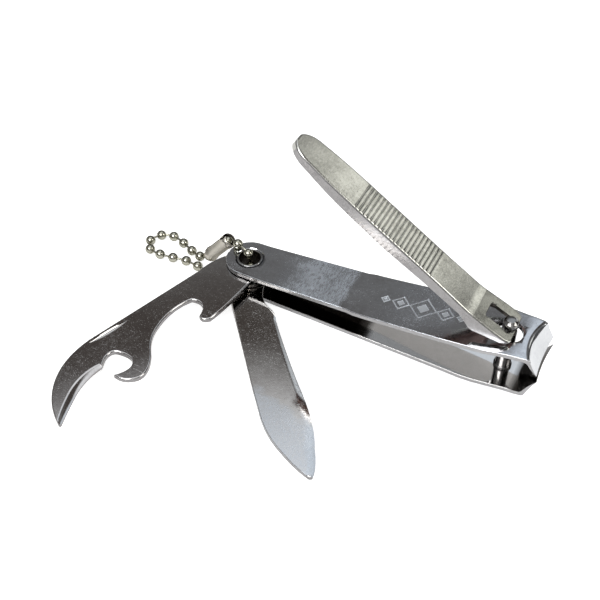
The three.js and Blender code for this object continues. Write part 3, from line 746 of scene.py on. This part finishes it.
def pivot_post():
    """Foot, collar and shaft, with a notch in front and flats at its sides for the lever."""
    section = [(0.02, FOOT_Z), (2.35, FOOT_Z)] + arc(2.35, FOOT_Z + 0.25, 0.25, -90, 0, 5)
    section += [(FOOT_R, -0.2), (2.5, -0.06), (SHAFT_R, -0.06), (SHAFT_R, 1.18), (1.95, 1.18),
                (COLLAR_R, 1.25), (COLLAR_R, 1.6), (1.9, 1.75), (SHAFT_R, 1.86), (SHAFT_R, 14.3)]
    section += arc(1.2, 14.4, 0.5, 10, 70, 6)
    section += [(1.15, 15.1), (1.02, 15.28), (0.9, POST_TOP_Z), (0.02, POST_TOP_Z)]
    obj = turned("post", section, POST_X, 56)
    boxes = [((POST_X, -3, NOTCH_LOW), (POST_X + 3, 3, NOTCH_HIGH))]
    for y in (1.3, -3.0):
        boxes.append(((POST_X - 3, y, 12.1), (POST_X + 3, y + 1.7, 13.4)))
    carve(obj, [mesh_object("notch", box_corners(low, high), BOX_FACES) for low, high in boxes])
    soften(obj, 0.08, 40)
    return obj


# -------- the lever

LEVER_FRONT = (64.2, 12.9)
LEVER_BEND = (54.5, 17.7)
LEVER_SLOPE = radians(34.1)
LEVER_LENGTH = 61.0
LEVER_THICK = 0.9
LEVER_CORNER_R = 0.5
LEVER_ROUND_START = 55.6
FRONT_SLOPE = atan2(LEVER_BEND[1] - LEVER_FRONT[1], LEVER_FRONT[0] - LEVER_BEND[0])
FRONT_LENGTH = dist(LEVER_FRONT, LEVER_BEND)
# Half width and depth of the channel, at distances along its top from the front end.
LEVER_HALF_WIDTH = [(0, 3.9), (0.5, 4.5), (1.4, 4.8), (4, 4.82), (10, 4.55), (20, 4.3),
                    (44, 4.25), (50, 4.1), (54, 3.85), (56, 3.65)]
LEVER_DEPTH = [(0, 0.95), (1.2, 1.15), (4.3, 2.2), (7.6, 3.5), (8.6, 3.55), (9.6, 3.0),
               (11.7, 2.15), (21.6, 2.55), (33.3, 3.1), (46.7, 2.7), (55, 2.1),
               (LEVER_LENGTH, 1.8)]
GROOVE_START = 21.5
GROOVE_PITCH = 1.06
GROOVES = 21
GROOVE_PROFILE = ((0, 0.0), (0.3, 0.0), (0.41, 0.025), (0.5, 0.035), (0.59, 0.025), (0.7, 0.0))
SLOT_CORNER_R = 0.5
SLOT_FRONT, SLOT_REAR, SLOT_SIDE = 1.45, 6.9, 1.6  # the centres of the slot's corners


def lever_width(s):
    if s <= LEVER_ROUND_START:
        return along(LEVER_HALF_WIDTH, s)
    share = min((s - LEVER_ROUND_START) / (LEVER_LENGTH + 0.25 - LEVER_ROUND_START), 1)
    start_width = along(LEVER_HALF_WIDTH, LEVER_ROUND_START)
    return max(start_width * (1 - share ** 2.2) ** 0.5, 0.9)


def lever_top(s):
    """The x, the z and the slope of the lever's top, at a distance along it."""
    turn = along([(FRONT_LENGTH - 0.9, 0), (FRONT_LENGTH + 0.9, 1)], s)
    slope = FRONT_SLOPE + (LEVER_SLOPE - FRONT_SLOPE) * turn
    front, main = min(s, FRONT_LENGTH), max(s - FRONT_LENGTH, 0)
    lift = 0.035 * max(0, 1 - abs(s - FRONT_LENGTH) / 0.9)
    x = LEVER_FRONT[0] - front * cos(FRONT_SLOPE) - main * cos(LEVER_SLOPE)
    z = LEVER_FRONT[1] + front * sin(FRONT_SLOPE) + main * sin(LEVER_SLOPE) + lift
    return x, z, slope


def lever_row(s, sink):
    """One row of the channel's outer and inner faces, its top sunk in the middle by sink."""
    x, z, slope = lever_top(s)
    width, depth = lever_width(s), along(LEVER_DEPTH, s)
    corner = LEVER_CORNER_R
    side = [(width, depth)]
    for turn in (90, 68, 45, 22, 0):
        a = radians(turn)
        side.append((width - corner + corner * sin(a),
                     corner - corner * cos(a) + sink * cos(a) ** 2))
    rim = width - corner - 0.06
    side += [(rim, sink), (rim - 0.18, sink)]
    flat = [(y, sink) for y in spread(0.66 * rim, -0.66 * rim, 5)]

    inside = max(width - LEVER_THICK, 0.35)
    roof = min(LEVER_THICK, depth) - 0.02
    bend = min(LEVER_THICK + 0.5, depth - 0.01)
    shares = [1, 1, 0.98, 0.94, 0.9, 0.86, 0.82, 0.7]
    drops = [depth, (depth + bend) / 2, bend, (bend + roof) / 2, roof + 0.06 * (bend - roof), roof,
             roof, roof]
    side_in = [(inside * share, down) for share, down in zip(shares, drops)]
    flat_in = [(y, roof) for y in spread(0.5 * inside, -0.5 * inside, 5)]

    def across(half, middle):
        profile = half + middle + [(-y, down) for y, down in reversed(half)]
        return [(x - sin(slope) * down, y, z - cos(slope) * down) for y, down in profile]

    return across(side, flat), across(side_in, flat_in)


def lever_slot():
    """A cutter for the post's slot, through the lever's front leg."""
    outline = []
    for run, y, start in ((SLOT_REAR, SLOT_SIDE, 0), (SLOT_FRONT, SLOT_SIDE, 90),
                          (SLOT_FRONT, -SLOT_SIDE, 180), (SLOT_REAR, -SLOT_SIDE, 270)):
        outline += arc(run, y, SLOT_CORNER_R, start, start + 90, 5)
    points = [(LEVER_FRONT[0] - run * cos(FRONT_SLOPE) + up * sin(FRONT_SLOPE), y,
               LEVER_FRONT[1] + run * sin(FRONT_SLOPE) + up * cos(FRONT_SLOPE))
              for up in (-4.2, 2.0) for run, y in outline]
    return mesh_object("slot", points, ring_faces(2, len(outline)))


def lever():
    rows = [(s, 0) for s in (0, 0.25, 0.5, 0.9, 1.4, 2, 3, 4, 5, 6, 7, 7.6, 8.1, 8.6, 9.1, 9.6,
                             9.92, 10.2, 10.5, 10.82, 11.1, 11.4, 11.72, 12.5, 14, 16, 18, 20, 21)]
    for i in range(GROOVES):
        start = GROOVE_START + i * GROOVE_PITCH
        rows += [(start + share * GROOVE_PITCH, sink) for share, sink in GROOVE_PROFILE]
    end = GROOVE_START + GROOVES * GROOVE_PITCH
    rows += [(s, 0) for s in [end, 45, 47, 49, 51, 53, 54.5] + spread(55.5, LEVER_LENGTH, 16)]
    outer, inner = zip(*[lever_row(s, sink) for s, sink in rows])
    obj = slab("lever", outer, inner)
    carve(obj, [lever_slot()])
    soften(obj, 0.1, 50)
    return obj


# -------- the folding tools

TOOL_BORE_R = 3.0
OUTLINE_STEPS = 9
EDGE_STEPS = 8
CLAW_GRIND = ((0, 0.24), (0.3, 0.9), (0.55, 0.26))
KNIFE_GRIND = ((0, 0.2),)

OPENER_LOW, OPENER_HIGH = 3.8, 5.0
CLAW_TIP = (-11.75, -58.9)
CLAW_EDGE = [((-12.6, -56.0), (-13.7, -51.0)), ((-14.5, -46.6), (-13.0, -42.4))]
OPENER_START = (4.6, 2.6)
OPENER_BACK = [((3.4, 5.0), (0, 5.1)), ((-4.4, 5.0), (-6.3, -0.6)), ((-8.6, -3.6), (-9.3, -7.6)),
               (-19.9, -37.3), ((-22.0, -44.6), (-19.6, -50.6)), ((-17.4, -56.0), (-12.7, -59.0)),
               ((-11.8, -59.6), CLAW_TIP)]
CAN_HOOK = [(-13.6, -40.5), ((-14.0, -37.9), (-12.3, -37.5)), ((-7.9, -36.9), (-7.5, -39.4)),
            ((-7.4, -41.2), (-9.4, -43.3)), ((-6.6, -44.2), (-4.4, -41.9)),
            ((-2.6, -39.6), (-5.3, -34.9))]
BOTTLE_MOUTH = [((-8.2, -31.2), (-8.4, -27.6)), ((-9.0, -21.0), (-6.0, -16.7)),
                ((-3.4, -15.9), (-2.3, -18.2)), ((-2.0, -19.4), (-1.95, -20.3)),
                ((-0.7, -21.6), (0.8, -19.9))]
OPENER_FRONT = [((2.4, -14.0), (3.2, -5.4)), ((5.6, -1.2), OPENER_START)]
NICK_ROWS, NICK_COLUMNS = 16, 6
NICK_DEPTH = 0.42

KNIFE_LOW, KNIFE_HIGH = 1.35, 2.5
KNIFE_START = (5.2, -0.6)
KNIFE_TANG = [((5.2, 5.2), (0, 5.2)), ((-5.4, 5.0), (-5.2, -0.9)), ((-4.9, -2.2), (-2.6, -6.9))]
KNIFE_BACK = [(17.4, -31.3), (22.6, -37.4), ((26.0, -41.2), (30.2, -43.2)),
              ((34.6, -45.6), (38.4, -46.5)), (39.1, -46.1)]
KNIFE_EDGE_START = (10.3, -9.1)
KNIFE_EDGE = [((12.2, -10.0), (13.1, -11.9)), ((19.4, -19.4), (26.0, -26.2)),
              ((34.0, -34.0), (36.4, -39.6)), ((38.9, -43.6), (39.1, -46.1))]
KNIFE_NECK = [((7.6, -8.2), (6.4, -5.6)), ((5.2, -3.2), KNIFE_START)]
KNIFE_GRIND_WIDTHS = [(0, 2.0), (8, 2.7), (15, 1.5), (24, 0.9), (32, 0.5)]  # from the tip back


def grinder(points, widths, face_z, profile, way):
    """A cutter that grinds a band along a plate's edge. The metal is on the left of the line.

    profile lists the band's facets from its inner line outwards, as (share of the width where the
    facet starts, its slope). way is 1 for the top face and -1 for the bottom one.
    """
    beyond = 0.8
    low, high = [], []
    for i, point in enumerate(points):
        before, after = points[max(i - 1, 0)], points[min(i + 1, len(points) - 1)]
        left = Vector((before[1] - after[1], after[0] - before[0])).normalized()
        width = max(widths[i], 0.05)
        stops = [share * width for share, _ in profile] + [width + beyond]
        fall = 0.0
        spots = []
        for k, stop in enumerate(stops):
            if k:
                fall += profile[k - 1][1] * (stop - stops[k - 1])
            inset = width - stop
            spots.append((point[0] + left.x * inset, point[1] + left.y * inset, face_z - way * fall))
        low.append(spots)
        high.append([(x, y, face_z + way) for x, y, _ in spots])
    return slab("grinder", high, low)


def nail_nick():
    """A cutter for a groove with a round floor, pointed at both ends."""
    far = outline_points((-19.24, -38.18), [((-17.9, -33.0), (-15.44, -28.58))], NICK_ROWS)
    near = outline_points((-19.2, -38.2), [((-16.1, -35.0), (-15.4, -28.6))], NICK_ROWS)
    shares = spread(0, 1, NICK_COLUMNS)
    top, groove = [], []
    for i, (a, b) in enumerate(zip(far, near)):
        deep = NICK_DEPTH * sin(pi * i / NICK_ROWS) ** 0.6
        spots = [(a[0] + (b[0] - a[0]) * t, a[1] + (b[1] - a[1]) * t) for t in shares]
        top.append([(x, y, OPENER_HIGH + 1) for x, y in spots])
        groove.append([(x, y, OPENER_HIGH - 0.01 - deep * sin(pi * t))
                       for (x, y), t in zip(spots, shares)])
    return slab("nick", top, groove)


def opener():
    stretches = OPENER_BACK + CLAW_EDGE + CAN_HOOK + BOTTLE_MOUTH + OPENER_FRONT
    outline = outline_points(OPENER_START, stretches, OUTLINE_STEPS)
    obj = rounded_plate("opener", outline, OPENER_LOW, OPENER_HIGH, 0.34, 0.15)
    edge = outline_points(CLAW_TIP, CLAW_EDGE, EDGE_STEPS)
    widths = [0.9 + 0.7 * sin(pi * i / (len(edge) - 1)) ** 0.7 for i in range(len(edge))]
    past_tip = (CLAW_TIP[0] + 0.45, CLAW_TIP[1] - 1.54)
    carve(obj, [drill(0, TOOL_BORE_R, 2, 7),
                grinder([past_tip] + edge, [0.8] + widths, OPENER_HIGH, CLAW_GRIND, 1),
                nail_nick()])
    return obj


def knife():
    ends = [KNIFE_EDGE_START] + [end for _, end in KNIFE_EDGE]
    edge_back = [(control, ends[i]) for i, (control, _) in enumerate(KNIFE_EDGE)][::-1]
    outline = outline_points(KNIFE_START, KNIFE_TANG + KNIFE_BACK + edge_back + KNIFE_NECK,
                             OUTLINE_STEPS)
    obj = rounded_plate("knife", outline, KNIFE_LOW, KNIFE_HIGH, 0.24, 0.15)
    edge = outline_points(KNIFE_EDGE_START, KNIFE_EDGE, EDGE_STEPS)[::-1]
    widths = [along(KNIFE_GRIND_WIDTHS, i) for i in range(len(edge))]
    carve(obj, [drill(0, TOOL_BORE_R, 0, 4),
                grinder(edge, widths, KNIFE_HIGH, KNIFE_GRIND, 1),
                grinder(edge, widths, KNIFE_LOW, KNIFE_GRIND, -1)])
    return obj


# -------- the chain's balls and connector

CONNECTOR_LOW, CONNECTOR_HIGH = Vector(CHAIN_CENTRES[0]), Vector(CHAIN_CENTRES[-1])
CONNECTOR_WALL = 0.28
CONNECTOR_TURN = radians(-172)  # about its own axis
BULB_R = 1.85
WAIST_R = 1.62
WINDOW_R = 1.05
EXIT_R = 0.62


def aimed(points, centre, way):
    """Points made about the origin along +z, turned to lie along way and moved to the centre."""
    turn = Vector((0, 0, 1)).rotation_difference(Vector(way).normalized())
    return [tuple(turn @ Vector(p) + Vector(centre)) for p in points]


def chain_ball(index):
    """A rolled sheet ball with a small turned-in lip round each wire hole."""
    centre = Vector(CHAIN_CENTRES[index])
    before = Vector(CHAIN_CENTRES[index - 1]) if index else centre
    after = Vector(CHAIN_CENTRES[(index + 1) % len(CHAIN_CENTRES)])
    profile = [(0.34, 0.98), (0.36, 1.08), (0.42, 1.125)]
    profile += [(BALL_R * sin(radians(a)), BALL_R * cos(radians(a)))
                for a in spread(23, 90, 10)]
    profile += [(r, -z) for r, z in reversed(profile[:-1])]
    points = aimed(round_points(profile, 32), centre, (after - before).normalized())
    return mesh_object(f"ball_{index + 1:02d}", points, ring_faces(len(profile), 32))


def connector():
    """A tube with a bulb for a ball at each end, a window in each bulb and a slot between them."""
    way = CONNECTOR_HIGH - CONNECTOR_LOW
    seat = way.length / 2
    half = seat + 1.0
    end = [(1.3, half), (1.48, half - 0.04), (1.64, half - 0.25), (1.78, half - 0.6),
           (BULB_R, seat + 0.1), (BULB_R, seat - 0.3), (1.76, seat - 0.9), (WAIST_R, seat - 1.7)]
    outside = end + [(r, -z) for r, z in reversed(end)]
    section = outside + [(r - CONNECTOR_WALL, z * 0.97) for r, z in reversed(outside)]

    def put(points):
        c, s = cos(CONNECTOR_TURN), sin(CONNECTOR_TURN)
        spun = [(x * c - y * s, x * s + y * c, z) for x, y, z in points]
        return aimed(spun, (CONNECTOR_HIGH + CONNECTOR_LOW) / 2, way)

    obj = mesh_object("connector", put(round_points(section, 48)),
                      ring_faces(len(section), 48, looped=True))
    slot = put(box_corners((0.3, -0.25, -seat), (3, 0.25, seat)))
    cutters = [mesh_object("slot", slot, BOX_FACES)]
    for z in (-seat, seat):
        circles = round_points([(WINDOW_R, 0.4), (WINDOW_R, 3.4)], 32)
        window = put([(x, y, z + up) for y, up, x in circles])
        cutters.append(mesh_object("window", window, ring_faces(2, 32)))
    for start, neighbour in ((CONNECTOR_LOW, CHAIN_CENTRES[1]),
                             (CONNECTOR_HIGH, CHAIN_CENTRES[-2])):
        rod = round_points([(EXIT_R, 0), (EXIT_R, 3)], 24)
        exit_hole = aimed(rod, start, Vector(neighbour) - start)
        cutters.append(mesh_object("exit", exit_hole, ring_faces(2, 24)))
    carve(obj, cutters)
    soften(obj, 0.06, 50)
    return obj


# -------- which faces take which metal

JAW_BACK_X, JAW_FACE_X = 67.0, 68.3
LEVER_FRONT_X, LEVER_SLOT_X = 55.6, 56.5


def inside_lower(centre, normal):
    return normal.z > 0.5 or (centre.x > JAW_BACK_X and normal.x < -0.2)


def inside_upper(centre, normal):
    return normal.z < -0.5 or (centre.x > JAW_BACK_X and normal.x < -0.2)


def in_ornament(centre, normal):
    below = centre.z - upper_top(centre.x)
    return 32 < centre.x < 54 and abs(centre.y) < 4.5 and -0.3 < below < -0.03


def leaf_side(centre, normal):
    return abs(normal.z) < 0.3 and abs(normal.y) > 0.6 and abs(centre.y) > 5


def jaw_face(centre, normal):
    return centre.x > JAW_FACE_X and normal.x > 0.5


def in_bore(centre, normal):
    outward = normal.x * centre.x + normal.y * centre.y
    return hypot(centre.x, centre.y) < 2.6 and outward < -0.5


def below_jaws(centre, normal):
    return centre.z < 7


def lever_side(centre, normal):
    return abs(normal.y) > 0.8 and abs(centre.y) > 2.5


def under_lever(centre, normal):
    return normal.z < -0.3 and abs(centre.y) < 3.9


def lever_front(centre, normal):
    return centre.x > LEVER_FRONT_X and normal.z > 0.5 and centre.z > 12


def in_lever_slot(centre, normal):
    return abs(centre.y) < 2.2 and centre.x > LEVER_SLOT_X and abs(normal.y) > 0.6


def tool_side(centre, normal):
    return abs(normal.z) < 0.3


def in_nick_shade(centre, normal):
    """The wall of the nail nick on the side away from the plate's back, which takes painted shade."""
    in_groove = -38.1 < centre.y < -28.7 and OPENER_HIGH - 0.5 < centre.z < OPENER_HIGH - 0.03
    past_middle = centre.x + 17.15 > 0.372 * (centre.y + 33.5)
    return in_groove and past_middle and centre.x < -14.9 and 0.2 < normal.z < 0.99


def inside_connector(centre, normal):
    way = (CONNECTOR_HIGH - CONNECTOR_LOW).normalized()
    from_low = centre - CONNECTOR_LOW
    out = from_low - way * from_low.dot(way)
    return out.normalized().dot(normal) < -0.3


# -------- make the pieces

finish_piece(lower_leaf(), CHROME, "frame", "lower_jaw_leaf",
             parts=[(CHROME_INSIDE, inside_lower), (SHEARED_AND_SHADED, leaf_side), (CHROME_JAW, jaw_face)])
finish_piece(upper_leaf(), CHROME_PAINTED_SHEEN, "upper", "upper_jaw_leaf",
             parts=[(CHROME_INSIDE, inside_upper), (SHEARED_AND_SHADED, leaf_side), (CHROME_JAW, jaw_face),
                    (ENGRAVED, in_ornament)])
finish_piece(eyelet(), BRIGHT, "frame", "rivet_eyelet",
             parts=[(RECESS_SHADE, in_bore)])
finish_piece(washer(), BRIGHT, "frame", "spacer_washer")
finish_piece(pivot_post(), POST, "post", "pivot_post",
             parts=[(POST_SHADED, below_jaws)])
finish_piece(lever(), SATIN, "lever", "press_lever",
             parts=[(SATIN_SIDE_SHADE, lever_side), (SATIN_UNDERSIDE_SHADE, under_lever),
                    (SATIN_FRONT_SHADE, lever_front), (RECESS_SHADE, in_lever_slot)])
finish_piece(opener(), POLISHED, "opener", "bottle_can_opener",
             parts=[(TOOL_SIDE_SHADE, tool_side), (RECESS_SHADE, in_nick_shade)])
finish_piece(knife(), KNIFE_STEEL, "knife", "knife_blade",
             parts=[(TOOL_SIDE_SHADE, tool_side)])
coupling = finish_piece(connector(), NICKEL_DULL, "chain", "chain_connector",
                        parts=[(RECESS_SHADE, inside_connector)])
balls = [finish_piece(chain_ball(i), NICKEL, "chain", f"chain_ball_{i + 1:02d}")
         for i in range(len(CHAIN_CENTRES))]

wire, wire_start, wire_length = chain_wire(NICKEL)
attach(wire, "chain")
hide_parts(*[f"chain_link_{i:02d}" for i in range(1, len(CHAIN_CENTRES))])


# -------- table and light

FLOOR_SIZE = 3.0
PAPER_GLOW_SEEN = 0.72  # the table shows brighter than the metal reflects it
PAPER_GLOW_REFLECTED = 0.25
KEY_POWER = 4.0
SIDE_POWER = 2.0
ROOM_FLOOR, ROOM_WALL, ROOM_CEILING = (0.09, 0.09, 0.09), (0.20, 0.20, 0.20), (0.085, 0.075, 0.07)
GLOWS = (  # azimuth, elevation and the reach of core and edge, in degrees, and the colour
    (126, 80, 25.5, 32.5, (1.05, 1.08, 1.12)),  # overhead
    (54.2, 29.0, 0.5, 8.0, (1.4, 1.4, 1.32)),  # small and low, behind and to the right
    (96, 50, 6, 11, (0.85, 0.92, 1.0)),  # behind
    (200, 35, 15, 35, (0.30, 0.30, 0.30)),  # to the left
    (-70, 50, 15, 40, (0.7, 0.7, 0.7)),  # in front
)


def paper():
    looks = {"Base Color": (0.8, 0.8, 0.8, 1), "Roughness": 0.9, "Specular IOR Level": 0.1,
             "Emission Color": (1, 1, 1, 1)}
    material, nodes, shader = new_material("paper", looks)
    seen = nodes.add("ShaderNodeLightPath").outputs["Is Camera Ray"]
    glow = nodes.ranged(seen, 0, 1, PAPER_GLOW_REFLECTED, PAPER_GLOW_SEEN)
    nodes.join(glow, shader.inputs["Emission Strength"])
    return material


def make_floor():
    mesh = bpy.data.meshes.new("floor")
    half = FLOOR_SIZE / 2
    corners = [(-half, -half, 0), (half, -half, 0), (half, half, 0), (-half, half, 0)]
    mesh.from_pydata(corners, [], [(0, 1, 2, 3)])
    mesh.materials.append(paper())
    floor = in_scene("floor", mesh)
    floor.matrix_world = Matrix.Rotation(-atan(TABLE_SLOPE), 4, "Y")


def area_light(name, location, aim, size, power, colour=(1, 1, 1)):
    data = bpy.data.lights.new(name, "AREA")
    data.shape = "RECTANGLE"
    data.size, data.size_y = size
    data.energy = power
    data.color = colour
    lamp = in_scene(name, data)
    lamp.location = location
    lamp.rotation_euler = (Vector(aim) - Vector(location)).to_track_quat("-Z", "Y").to_euler()


def world_light():
    """A dim room with a few soft patches of light for the metal to reflect."""
    world = bpy.data.worlds.new("room")
    bpy.context.scene.world = world
    world.use_nodes = True
    world.node_tree.nodes.clear()
    nodes = Nodes(world.node_tree)
    way = nodes.add("ShaderNodeTexCoord").outputs["Generated"]
    up = nodes.component(way, (0, 0, 1))

    def rise(low, high):
        return nodes.ranged(up, low, high, interpolation="SMOOTHSTEP")

    colour = nodes.mixed(rise(0.35, 0.62), ROOM_FLOOR, ROOM_WALL)
    colour = nodes.mixed(rise(0.66, 0.73), colour, ROOM_CEILING)
    for azimuth, elevation, core, edge, light in GLOWS:
        a, e = radians(azimuth), radians(elevation)
        towards = (cos(e) * cos(a), cos(e) * sin(a), sin(e))
        glow = nodes.ranged(nodes.component(way, towards), cos(radians(edge)),
                            cos(radians(core)), interpolation="SMOOTHSTEP")
        colour = nodes.mixed(glow, colour, light)

    lit = nodes.add("ShaderNodeBackground", Strength=1.0)
    nodes.join(colour, lit.inputs["Color"])
    seen = nodes.add("ShaderNodeBackground", Strength=1.0, Color=(1, 1, 1, 1))
    choice = nodes.add("ShaderNodeMixShader")
    nodes.join(nodes.add("ShaderNodeLightPath").outputs["Is Camera Ray"], choice.inputs[0])
    nodes.join(lit.outputs[0], choice.inputs[1])
    nodes.join(seen.outputs[0], choice.inputs[2])
    output = nodes.add("ShaderNodeOutputWorld")
    nodes.join(choice.outputs[0], output.inputs["Surface"])


make_floor()
area_light("key", (-0.1, -0.5, 0.62), (-0.02, 0, 0), (0.5, 0.35), KEY_POWER)
area_light("right", (0.62, 0.1, 0.45), (0, 0, 0.02), (0.35, 0.5), SIDE_POWER, (1, 0.99, 0.95))
world_light()

scene = bpy.context.scene
scene.view_settings.view_transform = "Standard"
scene.view_settings.look = "None"
scene.view_settings.exposure = 0.0
scene.cycles.max_bounces = 12
scene.cycles.glossy_bounces = 8
